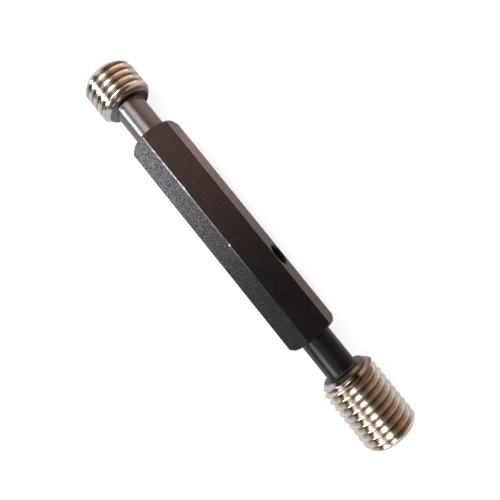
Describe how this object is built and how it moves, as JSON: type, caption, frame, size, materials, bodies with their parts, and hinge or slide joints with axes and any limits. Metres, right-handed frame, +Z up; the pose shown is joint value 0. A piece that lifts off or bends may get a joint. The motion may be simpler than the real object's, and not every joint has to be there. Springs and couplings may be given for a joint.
{
  "type": "thread plug gauge",
  "caption": "Double-ended thread plug gauge: hexagonal handle with a long full-form thread head at one end and a short truncated thread head at the other.",
  "frame": {"origin": "under the middle of the gauge's length, on the surface it lies on", "axes": "+X along the gauge towards the long GO head, +Z up through the middle of the handle's top flat, +Y across"},
  "size_m": [0.1234, 0.016, 0.016],
  "materials": {
    "black_oxide": "satin black oxide on ground steel, a little worn along the edges",
    "gauge_steel": "ground thread heads; neck and back face are black oxide"
  },
  "bodies": {
    "root": {"handle": "black_oxide", "go_member": "gauge_steel", "nogo_member": "gauge_steel"}
  },
  "joints": []
}
